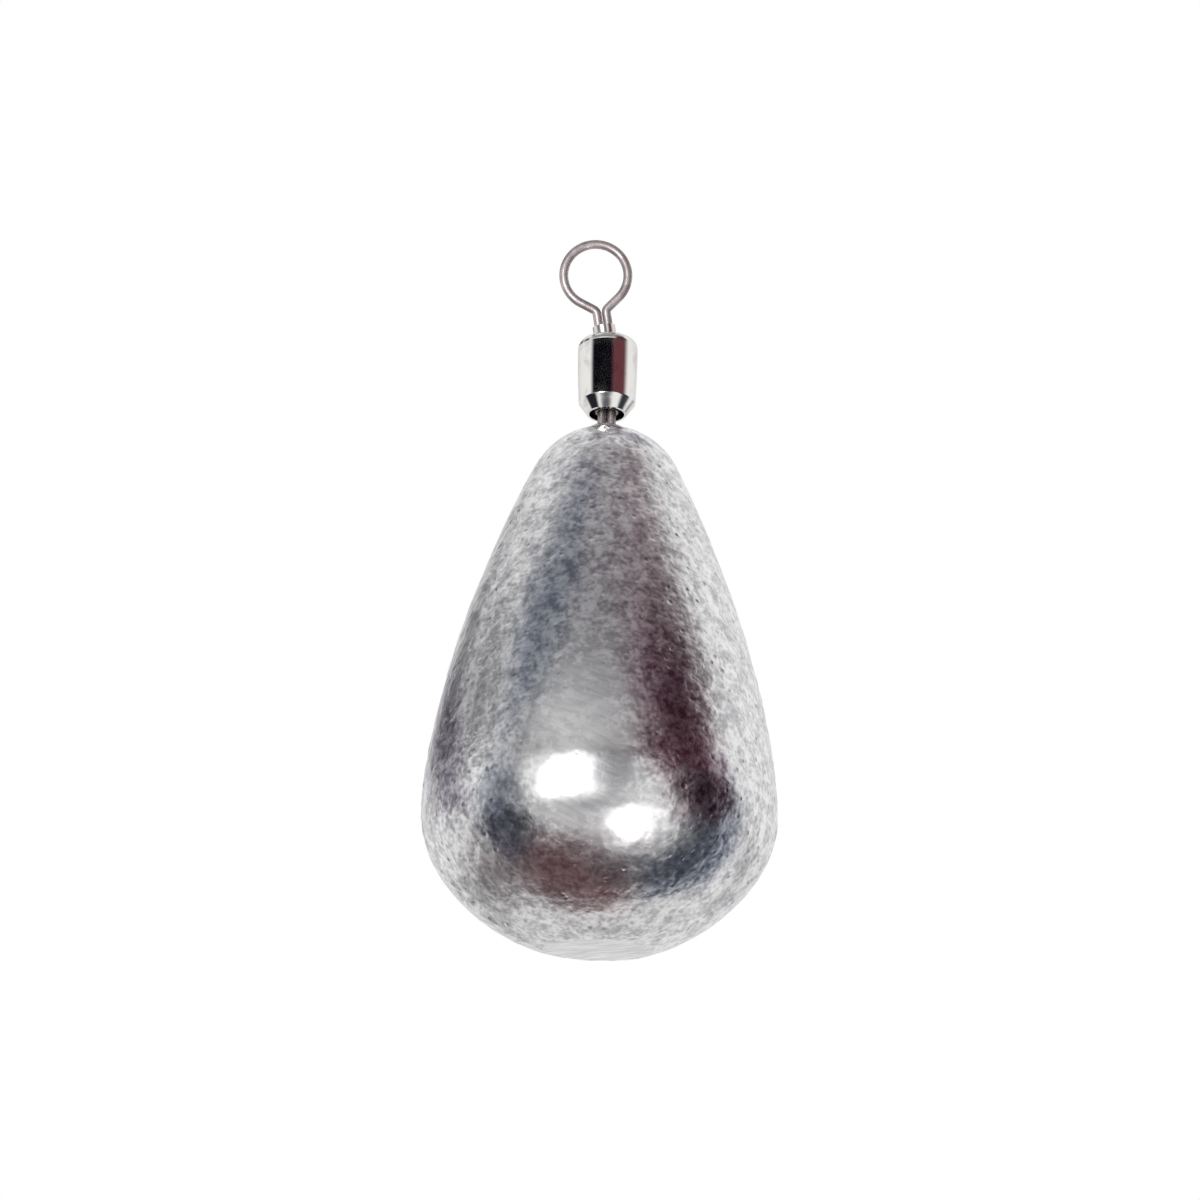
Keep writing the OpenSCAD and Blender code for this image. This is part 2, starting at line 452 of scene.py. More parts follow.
    def mark(self, piece: bpy.types.Object, belly: Vector) -> None:
        """Mark on the mesh where the oxide tints and their painted reflections and shade lie, and where the
        skin is rubbed.

        Args:
            piece: the casting, in object mode.
            belly: middle of the belly.
        """
        places = [(piece.matrix_world @ vert.co - belly) / MM for vert in piece.data.vertices]
        for trace in (self.rubbed, *self.oxide_and_painted_light):
            layer = piece.data.attributes.new(trace.mark, "FLOAT", "POINT")
            layer.data.foreach_set("value", [trace.strength(place) for place in places])

    def make(self) -> bpy.types.Material:
        """Lay the skin's patterns, then the oxide tints with their painted reflections and shade, the filed
        gate, and the bumps of each.

        Returns:
            The lead's material.
        """
        sheet = ShaderSheet("cast_lead_skin")
        blotch = sheet.grain(self.blotch_mm, 2, 0.55, 0.3)
        cloud = sheet.grain(self.cloud_mm, 3, 0.5, 0.5)
        fine = sheet.grain(self.fine_mm, 1, 0.5)
        pits = sheet.span(sheet.cells(self.pit_mm), *self.pit_span)
        worn = sheet.sum("ADD", sheet.mark(self.rubbed.mark), sheet.sum("MULTIPLY", cloud, self.worn_cloud))
        rubbed = sheet.span(worn, *self.worn_span)
        cast = sheet.sum("SUBTRACT", 1.0, sheet.sum("MULTIPLY", rubbed, self.polish))

        mottle: Any = 0.0
        patterns = ((blotch, self.blotch_share), (fine, self.fine_share), (cloud, self.cloud_share))
        for pattern, part in patterns:
            mottle = sheet.sum("ADD", mottle, sheet.sum("MULTIPLY", pattern, part))
        lines = sheet.stretched((1, 1, 9), (0, self.wipe_lean, 0))
        wipe = sheet.grain(self.wipe_mm, 2, 0.6, 0, lines)
        wiped = sheet.sum("MULTIPLY", rubbed, sheet.span(wipe, *self.wipe_span))
        pale = sheet.sum("MAXIMUM", sheet.span(mottle, *self.pale_span), wiped)
        skin = sheet.tint(pale, self.dull, self.bright)
        shift = sheet.sum("MULTIPLY", sheet.sum("SUBTRACT", mottle, 0.5), self.oxide_and_light_mottle)
        # Each of these tints the skin with oxide colour that also holds painted reflections and shade.
        for oxide_with_light in self.oxide_and_painted_light:
            share = sheet.span(sheet.sum("SUBTRACT", sheet.mark(oxide_with_light.mark), shift), *self.oxide_and_light_span)
            colour = sheet.tint(sheet.span(mottle, *self.oxide_and_light_tints), oxide_with_light.deep, oxide_with_light.thin)
            skin = sheet.tint(share, skin, colour)
        dark = sheet.sum("MULTIPLY", sheet.sum("MULTIPLY", pits, self.pit_dark), cast)
        skin = sheet.tint(dark, skin, self.hollow)

        cut = sheet.mark("gate_cut")
        lines = sheet.stretched((1, 12, 12), (0, 0, self.stroke_lean))
        stroke = sheet.grain(self.stroke_mm, 2, 0.6, 0, lines)
        colour = sheet.tint(sheet.span(stroke, *self.stroke_span), self.filed, self.bright)
        skin = sheet.tint(cut, skin, colour)

        rough = sheet.span(cast, *self.rough_span)
        for pattern in (cloud, cut):
            rough = sheet.sum("ADD", rough, sheet.sum("MULTIPLY", pattern, self.rough_extra))

        ground = sheet.sum("SUBTRACT", 1.0, pits)
        bump = sheet.relief(sheet.sum("MULTIPLY", blotch, cast), self.blotch_depth)
        bump = sheet.relief(sheet.sum("MULTIPLY", fine, cast), self.fine_depth, bump)
        bump = sheet.relief(sheet.sum("MULTIPLY", ground, cast), self.pit_depth, bump)
        bump = sheet.relief(sheet.sum("MULTIPLY", stroke, cut), self.stroke_depth, bump)
        return sheet.metal(skin, rough, bump, self.edge)


@dataclass(frozen=True)
class DrawnWire:
    """Drawn spring wire, faintly pink with tarnish, with fine draw marks."""

    clean: Colour = (0.60, 0.545, 0.54)
    tarnish: Colour = (0.42, 0.365, 0.365)
    edge: Colour = (0.2, 0.18, 0.18)
    patch_mm: float = 0.9
    patch_depth: float = 0.004
    patch_span: tuple[float, ...] = (0.35, 0.65)
    rough_span: tuple[float, ...] = (0.3, 0.7, 0.42, 0.52)

    def make(self) -> bpy.types.Material:
        """Lay clean and tarnished patches.

        Returns:
            The wire's material.
        """
        sheet = ShaderSheet("drawn_spring_wire")
        patch = sheet.grain(self.patch_mm, 2, 0.6, 0.5)
        colour = sheet.tint(sheet.span(patch, *self.patch_span), self.clean, self.tarnish)
        rough = sheet.span(patch, *self.rough_span)
        return sheet.metal(colour, rough, sheet.relief(patch, self.patch_depth), self.edge)


@dataclass(frozen=True)
class NickelPlate:
    """Bright plate that has dulled a little, with rub marks round the part and a few dark specks."""

    name: str
    clean: Colour = (0.80, 0.79, 0.77)
    stain: Colour = (0.50, 0.47, 0.46)
    rough_low: float = 0.03
    rough_high: float = 0.07
    rough_rub: float = 0.03
    edge: Colour = (0.8, 0.79, 0.78)
    patch_mm: float = 1.3
    rub_mm: float = 0.12
    speck_mm: float = 0.5
    patch_depth: float = 0.002
    rub_depth: float = 0.0008
    stain_span: tuple[float, ...] = (0.48, 0.75)
    speck_span: tuple[float, ...] = (0.03, 0.12)
    speck_dark: float = 0.6
    rough_span: tuple[float, ...] = (0.3, 0.7)

    def make(self) -> bpy.types.Material:
        """Lay stained patches, specks and rub marks.

        Returns:
            The plate's material.
        """
        sheet = ShaderSheet(self.name)
        patch = sheet.grain(self.patch_mm, 3, 0.6, 0.4)
        rub = sheet.grain(self.rub_mm, 2, 0.6, 0, sheet.stretched((7, 7, 1)))
        speck = sheet.span(sheet.cells(self.speck_mm), *self.speck_span)
        colour = sheet.tint(sheet.span(patch, *self.stain_span), self.clean, self.stain)
        colour = sheet.tint(sheet.span(speck, 0, 1, self.speck_dark, 0), colour, self.stain)
        rough = sheet.span(patch, *self.rough_span, self.rough_low, self.rough_high)
        rough = sheet.sum("ADD", rough, sheet.sum("MULTIPLY", rub, self.rough_rub))
        bump = sheet.relief(rub, self.rub_depth)
        bump = sheet.relief(patch, self.patch_depth, bump)
        return sheet.metal(colour, rough, bump, self.edge)


# ---- Modelling helpers


def start_ring(sides: int, radius: float, centre: Vector) -> bpy.types.Object:
    """Add a ring of edges and go into edit mode with it all selected.

    Args:
        sides: number of sides.
        radius: the ring's radius.
        centre: where its middle lies.

    Returns:
        The new object.
    """
    bpy.ops.object.select_all(action="DESELECT")
    bpy.ops.mesh.primitive_circle_add(vertices=sides, radius=radius, location=centre)
    piece = bpy.context.object
    bpy.ops.object.mode_set(mode="EDIT")
    bpy.ops.mesh.select_mode(type="VERT")
    bpy.ops.mesh.select_all(action="SELECT")
    return piece


def draw_out(step: Sequence[float]) -> None:
    """Extrude what is selected.

    Args:
        step: how far it is carried.
    """
    bpy.ops.mesh.extrude_region_move(TRANSFORM_OT_translate={"value": tuple(step)})


def turn_profile(sides: int, centre: Vector, profile: Sequence[RingPoint]) -> bpy.types.Object:
    """Build a turned form ring by ring, from one outline point to the next.

    Args:
        sides: sides of each ring.
        centre: a point on the axis that the heights count from.
        profile: radius and height of each ring, in order.

    Returns:
        The object, in edit mode, with its last ring selected.
    """
    radius, height = profile[0]
    piece = start_ring(sides, radius, centre + Vector((0, 0, height)))
    for next_radius, next_height in profile[1:]:
        draw_out((0, 0, next_height - height))
        ratio = next_radius / radius
        middle = centre + Vector((0, 0, next_height))
        bpy.ops.transform.resize(value=(ratio, ratio, 1), center_override=middle)
        radius, height = next_radius, next_height
    return piece


def close_poles(piece: bpy.types.Object) -> None:
    """Cap both open ends of a turned form with a fan of triangles.

    Args:
        piece: the object, in edit mode.
    """
    bpy.ops.mesh.select_mode(type="EDGE")
    bpy.ops.mesh.select_all(action="DESELECT")
    bpy.ops.mesh.select_non_manifold(extend=False)
    bpy.ops.mesh.edge_face_add()
    bpy.ops.mesh.select_mode(type="FACE")
    bpy.ops.mesh.select_all(action="DESELECT")
    cage = bmesh.from_edit_mesh(piece.data)
    for face in cage.faces:
        if len(face.verts) > 4:
            face.select_set(True)
    bmesh.update_edit_mesh(piece.data)
    bpy.ops.mesh.poke()


def refine(piece: bpy.types.Object, levels: int) -> None:
    """Apply a subdivision surface.

    Args:
        piece: the object, in object mode.
        levels: how many times each face is split.
    """
    modifier = piece.modifiers.new("refine", "SUBSURF")
    modifier.levels = modifier.render_levels = levels
    bpy.context.view_layer.objects.active = piece
    bpy.ops.object.modifier_apply(modifier=modifier.name)


def settle(piece: bpy.types.Object, name: str, material: bpy.types.Material, body: str) -> None:
    """Put a finished piece's place into its mesh, name it, dress it and let it ride.

    Args:
        piece: the object, in object mode.
        name: its name.
        material: its finish.
        body: the body that it moves with.
    """
    bpy.ops.object.select_all(action="DESELECT")
    piece.select_set(True)
    bpy.context.view_layer.objects.active = piece
    bpy.ops.object.transform_apply(location=True, rotation=True, scale=True)
    bpy.ops.object.mode_set(mode="EDIT")
    bpy.ops.mesh.select_all(action="SELECT")
    bpy.ops.mesh.remove_doubles(threshold=1e-7)
    bpy.ops.mesh.normals_make_consistent(inside=False)
    bpy.ops.object.mode_set(mode="OBJECT")
    bpy.ops.object.shade_smooth()
    piece.name = piece.data.name = name
    piece.data.materials.clear()
    piece.data.materials.append(material)
    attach(piece, body)
    log.info("%s: %d faces, rides on %s", name, len(piece.data.polygons), body)


def arc(radius: float, first: float, last: float, steps: int) -> list[RingPoint]:
    """Return points of an arc about the origin.

    Args:
        radius: the arc's radius.
        first: its first angle, in degrees.
        last: its last angle, in degrees.
        steps: number of steps.

    Returns:
        Radius and height of each point.
    """
    angles = [radians(first + (last - first) * i / steps) for i in range(steps + 1)]
    return [(radius * cos(a), radius * sin(a)) for a in angles]


# ---- Sub-assemblies


@dataclass
class LeadCasting:
    """The pear-shaped lead, with its cast skin, parting seam, nicks and cut gate.

    Lengths are in millimetres, angles in degrees, and heights count from the belly. The boss's profile
    counts from its own top. A fade says how many widths away a seam or a nick ends, and a nick is its
    place, its width and its depth.
    """

    belly_r: float = 9.45
    side_h: float = 20.0
    neck_r: float = 3.975
    side_bow: float = 1.66
    belly_round_r: float = 5.3
    base_h: float = 7.5
    boss_r: float = 1.1
    boss_h: float = 0.1
    boss_spread: float = 0.1
    base_end: float = -89.2
    gate_r: float = 3.0
    gate_lean: float = 11.0
    sides: int = 88
    seam_h: float = 0.09
    seam_half_w: float = 0.22
    seam_fade: float = 1.6
    seam_whole: float = 0.65
    seam_ragged: float = 0.5
    seam_waves_per_mm: float = 0.9
    nick_fade: float = 1.5
    wobble: float = 0.035
    wobbles_per_mm: float = 0.22
    lumps: float = 0.022
    lumps_per_mm: float = 1.6
    smoothed: float = 0.7
    file_marks: float = 0.004
    file_mark_w: float = 0.5
    boss_profile: tuple[RingPoint, ...] = (
        (0.12, 0.0), (0.5, 0.0), (0.85, 0.0), (1.03, -0.01), (1.09, -0.05), (1.12, -0.14),
    )
    dome_steps: int = 12
    side_steps: int = 26
    belly_steps: int = 7
    base_steps: int = 15
    nicks: tuple[tuple[float, float, float, float, float], ...] = (
        (-8.3, 0.1, -3.4, 0.35, 0.16),
        (-7.5, 0.0, -4.7, 0.5, 0.2),
        (-6.7, -0.1, -5.3, 0.35, 0.22),
        (-5.9, 0.1, -5.9, 0.5, 0.18),
        (-5.1, 0.0, -6.3, 0.3, 0.15),
        (4.95, -0.1, 17.6, 0.3, 0.16),
        (4.65, 0.1, 18.3, 0.35, 0.2),
        (4.3, -0.1, 19.1, 0.3, 0.14),
        (7.9, -3.0, -3.3, 0.4, 0.05),
        (2.5, 8.6, 3.0, 0.7, 0.06),
        (-4.4, 5.6, 11.0, 0.5, 0.06),
    )

    def side_radius(self, share: float) -> float:
        """Find the side's radius.

        Args:
            share: height as a share of the side's, from the belly up.

        Returns:
            The radius there.
        """
        return self.belly_r - (self.belly_r - self.neck_r) * share**self.side_bow

    def base(self) -> tuple[float, float, float]:
        """Find the base sphere that meets the belly's round without a step.

        Returns:
            Its radius, its middle's height, and the angle where the belly's round takes over.
        """
        round_r = self.belly_round_r
        round_x = self.belly_r - round_r
        radius = (self.base_h**2 + round_x**2 - round_r**2) / (2 * (self.base_h - round_r))
        middle = radius - self.base_h
        return radius, middle, degrees(atan2(middle, round_x))

    def outline(self) -> list[RingPoint]:
        """Draw the outline from the boss down to the base.

        Returns:
            Radius and height of each ring.
        """
        dome_a = atan((self.belly_r - self.neck_r) * self.side_bow / self.side_h)
        dome_r = self.neck_r / cos(dome_a)
        dome_z = self.side_h - dome_r * sin(dome_a)
        foot_a = acos((self.boss_r + self.boss_spread) / dome_r)
        top = dome_z + dome_r + self.boss_h
        base_r, base_z, base_a = self.base()
        rings = [(r, z + top) for r, z in self.boss_profile]
        rings += [(r, z + dome_z) for r, z in arc(dome_r, degrees(foot_a), degrees(dome_a), self.dome_steps)]
        shares = [1 - i / self.side_steps for i in range(1, self.side_steps + 1)]
        rings += [(self.side_radius(share), self.side_h * share) for share in shares]
        round_x = self.belly_r - self.belly_round_r
        rings += [(r + round_x, z) for r, z in arc(self.belly_round_r, 0, -base_a, self.belly_steps)[1:]]
        rings += [(r, z + base_z) for r, z in arc(base_r, -base_a, self.base_end, self.base_steps)[1:]]
        return rings

    def cut_gate(self, piece: bpy.types.Object, belly: Vector) -> None:
        """Cut the flat face off the base and mark it for the finish.

        Args:
            piece: the casting, in object mode.
            belly: middle of the belly.
        """
        base_r, base_z, _ = self.base()
        lean = radians(self.gate_lean)
        way = Vector((0, sin(lean), -cos(lean)))
        middle = belly + Vector((0, 0, base_z * MM))
        reach = sqrt(base_r**2 - self.gate_r**2) * MM
        cage = bmesh.new()
        cage.from_mesh(piece.data)
        mark = cage.verts.layers.float.new("gate_cut")
        for vert in cage.verts:
            place = piece.matrix_world @ vert.co
            beyond = (place - middle).dot(way) - reach
            if beyond > 0:
                filed = self.file_marks * MM * noise.noise(place / (self.file_mark_w * MM))
                vert.co -= way * (beyond - filed)
                vert[mark] = 1.0
        cage.to_mesh(piece.data)
        cage.free()

    def weather(self, piece: bpy.types.Object, belly: Vector) -> None:
        """Raise the parting seam, press the nicks and roughen the skin.

        Args:
            piece: the casting, in object mode.
            belly: middle of the belly.
        """
        marks = piece.data.attributes["gate_cut"].data
        rubs = piece.data.attributes["rubbed"].data
        normals = [vert.normal.copy() for vert in piece.data.vertices]
        for vert, normal, mark, rub in zip(piece.data.vertices, normals, marks, rubs):
            place = (piece.matrix_world @ vert.co - belly) / MM
            shift = self.wobble * noise.fractal(place * self.wobbles_per_mm, 1.0, 2.0, 2)
            lump = noise.fractal(place * self.lumps_per_mm, 0.7, 2.0, 3)
            shift += self.lumps * lump * (1 - self.smoothed * rub.value)
            if mark.value < 0.5 and abs(place.x) > self.boss_r:
                wave = noise.noise(Vector((place.x, 3.1, place.z)) * self.seam_waves_per_mm)
                height = self.seam_h * (self.seam_whole + self.seam_ragged * wave)
                shift += height * falloff(place.y / self.seam_half_w, self.seam_fade)
            for x, y, z, width, depth in self.nicks:
                shift -= depth * falloff((place - Vector((x, y, z))).length / width, self.nick_fade)
            vert.co += normal * shift * MM
        piece.data.update()

    def build(self, finish: CastLead) -> bpy.types.Object:
        """Model the casting in the place of its solid.

        Args:
            finish: what it is made of.

        Returns:
            The finished piece.
        """
        low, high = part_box("lead_body")
        rings = self.outline()
        belly = Vector(((low.x + high.x) / 2, (low.y + high.y) / 2, high.z - rings[0][1] * MM))
        piece = turn_profile(self.sides, belly, [(r * MM, z * MM) for r, z in rings])
        close_poles(piece)
        bpy.ops.object.mode_set(mode="OBJECT")
        refine(piece, 2)
        finish.mark(piece, belly)
        self.cut_gate(piece, belly)
        self.weather(piece, belly)
        settle(piece, "lead_casting", finish.make(), "lead")
        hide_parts("lead_body")
        return piece


@dataclass
class WireEye:
    """One length of spring wire bent to a round eye, with two legs held by a head.

    Lengths are in millimetres and count from the middle of the ball that the eye turns in.
    """

    end: End
    wire_r: float = 0.24
    loop_r: float = 1.74
    arm_slope: float = 36.5
    bend_r: float = 0.35
    leg_x: float = 0.255
    bend_z: float = 2.23
    head_top: float = -0.48
    head_low: float = -0.83
    head_r: float = 0.75
    head_edge: float = 0.03
    head_chamfer: float = 0.1
    head_pole_r: float = 0.06
    head_sides: int = 48
    leg_in_head: float = 0.1
    sides: int = 20
    leg_steps: int = 6
    bend_steps: int = 8
    arm_steps: int = 3
    loop_steps: int = 72

    def place(self) -> Matrix:
        """Find where the eye goes.

        Returns:
            The turn and shift that put it on its ball.
        """
        joints = {joint["name"]: joint for joint in frame["joints"]}
        if self.end is End.UPPER:
            spin = joints["upper_spin"]
            turn = Vector((0, 0, 1)).rotation_difference(Vector(spin["axis"])).to_matrix().to_4x4()
        else:
            spin = joints["lead_spin"]
            turn = Matrix.Rotation(pi, 4, "X")
        return Matrix.Translation(spin["pos_m"]) @ turn

    def bend_wire(self) -> bpy.types.Object:
        """Carry one ring along the legs, the neck's bends, the arms and the loop.

        Returns:
            The wire, in object mode.
        """
        turn = radians(90 - self.arm_slope)
        slope = radians(self.arm_slope)
        arm_x = self.leg_x + self.bend_r * (1 - cos(turn))
        arm_z = self.bend_z + self.bend_r * sin(turn)
        loop_z = arm_z + (self.loop_r - arm_x * sin(slope)) / cos(slope)
        arm_len = (self.loop_r * sin(slope) - arm_x) / cos(slope)
        foot_z = self.head_top - self.leg_in_head
        leg_step = (self.bend_z - foot_z) * MM / self.leg_steps
        arm_step = arm_len * MM / self.arm_steps
        bend_x = (self.leg_x + self.bend_r) * MM
        bend = {"steps": self.bend_steps, "angle": turn, "axis": (0, -1, 0)}
        loop = {"steps": self.loop_steps, "angle": 2 * pi - 2 * slope, "axis": (0, 1, 0)}
        piece = start_ring(self.sides, self.wire_r * MM, Vector((self.leg_x, 0, foot_z)) * MM)
        for _ in range(self.leg_steps):
            draw_out((0, 0, leg_step))
        bpy.ops.mesh.spin(center=(bend_x, 0, self.bend_z * MM), **bend)
        for _ in range(self.arm_steps):
            draw_out((sin(turn) * arm_step, 0, cos(turn) * arm_step))
        bpy.ops.mesh.spin(center=(0, 0, loop_z * MM), **loop)
        for _ in range(self.arm_steps):
            draw_out((sin(turn) * arm_step, 0, -cos(turn) * arm_step))
        bpy.ops.mesh.spin(center=(-bend_x, 0, self.bend_z * MM), **bend)
        for _ in range(self.leg_steps):
            draw_out((0, 0, -leg_step))
        close_poles(piece)
        bpy.ops.object.mode_set(mode="OBJECT")
        return piece

    def upset_head(self) -> bpy.types.Object:
        """Form the head that holds the two legs together inside the barrel.

        Returns:
            The head, in object mode.
        """
        rings = [
            (self.head_pole_r, self.head_top),
            (self.head_r - self.head_edge, self.head_top),
            (self.head_r, self.head_top - self.head_edge),
            (self.head_r, self.head_low + self.head_chamfer),
            (self.head_r - self.head_chamfer, self.head_low),
            (self.head_pole_r, self.head_low),
        ]
        piece = turn_profile(self.head_sides, Vector(), [(r * MM, z * MM) for r, z in rings])
        close_poles(piece)
        bpy.ops.object.mode_set(mode="OBJECT")
        return piece

    def build(self, finish: DrawnWire) -> bpy.types.Object:
        """Model the eye in the place of its solid.

        Args:
            finish: what it is made of.

        Returns:
            The finished piece.
        """
        wire = self.bend_wire()
        head = self.upset_head()
        bpy.ops.object.select_all(action="DESELECT")
        head.select_set(True)
        wire.select_set(True)
        bpy.context.view_layer.objects.active = wire
        bpy.ops.object.join()
        bpy.ops.object.transform_apply(location=True, rotation=True, scale=True)
        wire.matrix_world = self.place()
        name, body = ("line_eye", "upper_eye") if self.end is End.UPPER else ("anchor_eye", "lead")
        settle(wire, name, finish.make(), body)
        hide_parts(f"{self.end.value}_eye")
        return wire


@dataclass
class SwivelBody:
    """The swivel's barrel and beads, whose solids have the right shape and only need their finish."""

    barrel_finish: NickelPlate = NickelPlate("nickel_plate_barrel")
    upper_finish: NickelPlate = NickelPlate(
        "nickel_plate_upper_bead", (0.70, 0.66, 0.64), (0.42, 0.38, 0.37), 0.12, 0.22
    )
    # The lower bead's plate is darkened to paint the shade that it sits in, inside the barrel's lower end.
    lower_shaded_finish: NickelPlate = NickelPlate(
        "nickel_plate_lower_bead_painted_shade", (0.26, 0.235, 0.235), (0.13, 0.115, 0.115), 0.16, 0.28
    )

    def dress(self) -> None:
        """Give the carried solids their finishes."""
        finishes = {
            "barrel": self.barrel_finish,
            "upper_bead": self.upper_finish,
            "lower_bead": self.lower_shaded_finish,
        }
        for node, finish in finishes.items():
            material = finish.make()
            for place in frame["nodes"][node].material_slots:
                place.material = material
            log.info("%s: solid kept, dressed in %s", node, material.name)


# ---- Studio


@dataclass(frozen=True)
class Shade:
    """A dark or coloured thing in the room, as the metal reflects it.

    Angles are in degrees: to the right of the camera and above it, seen from the part, then half the
    width and half the height. It is whole over its core and fades from there to its rim.
    """

    right: float
    up: float
    half_w: float
    half_h: float
    colour: Colour
    core: float


@dataclass(frozen=True)
class Strip:
    """A long level dark thing in the room, as upright metal walls reflect it.

    Angles are in degrees: its two ends round to the camera's right, its height above the horizon,
    half its own height, and how softly its ends fade. It is whole over its core.
    """

    first: float
    last: float
    height: float
    half_h: float
    colour: Colour
    edge: float = 8.0
    core: float = 0.75


class RoomSheet(NodeSheet):
    """The room's node tree, which colours each way that a reflection looks."""

    def __init__(self, name: str) -> None:
        """Start an empty room.

        Args:
            name: the room's name.
        """
        self.world = bpy.data.worlds.new(name)
        super().__init__(self.world)
        self.where = self.add("ShaderNodeTexCoord").outputs["Generated"]

    def along(self, axis: Vector) -> bpy.types.NodeSocket:
        """Return how far the way points along an axis.

        Args:
            axis: the axis.

        Returns:
            The dot product.
        """
        node = self.add("ShaderNodeVectorMath", operation="DOT_PRODUCT")
        self.feed(node, 0, self.where)
        self.feed(node, 1, axis)
        return node.outputs["Value"]

    def patch(self, shade: Shade, turn: Matrix) -> bpy.types.NodeSocket:
        """Return how much of a shade shows.

        Args:
            shade: the shade.
            turn: its width, height and outward way as columns.

        Returns:
            The share, from 0 to 1.
        """
        side, top, way = (Vector(column) for column in turn.to_3x3().col)
        across = self.sum("POWER", self.along(side / sin(radians(shade.half_w))), 2.0)
        upward = self.sum("POWER", self.along(top / sin(radians(shade.half_h))), 2.0)
        reach = self.sum("POWER", self.sum("ADD", across, upward), 0.5)
        ahead = self.sum("GREATER_THAN", self.along(way), 0.0)
        return self.sum("MULTIPLY", self.span(reach, shade.core, 1.0, 1.0, 0.0), ahead)

    def band(self, strip: Strip) -> bpy.types.NodeSocket:
        """Return how much of a strip shows.

        Args:
            strip: the strip.

        Returns:
            The share, from 0 to 1.
        """
        middle, half = (strip.first + strip.last) / 2, (strip.last - strip.first) / 2
        round_to = self.sum("ARCTAN2", self.along(Vector((1, 0, 0))), self.along(Vector((0, -1, 0))))
        round_to = self.sum("ABSOLUTE", self.sum("SUBTRACT", round_to, radians(middle)))
        ends = self.span(round_to, radians(half - strip.edge), radians(half + strip.edge), 1.0, 0.0)
        level = self.sum("SUBTRACT", self.along(Vector((0, 0, 1))), sin(radians(strip.height)))
        rim = sin(radians(strip.half_h))
        level = self.span(self.sum("ABSOLUTE", level), strip.core * rim, rim, 1.0, 0.0)
        return self.sum("MULTIPLY", ends, level)


@dataclass(frozen=True)
class Lamp:
    """A soft lamp, placed by its angles from the camera, seen from the part.

    Its width and height are angles too.
    """

    name: str
    right: float
    up: float
    width: float
    height: float
    radiance: float
    reach_mm: float = 420.0


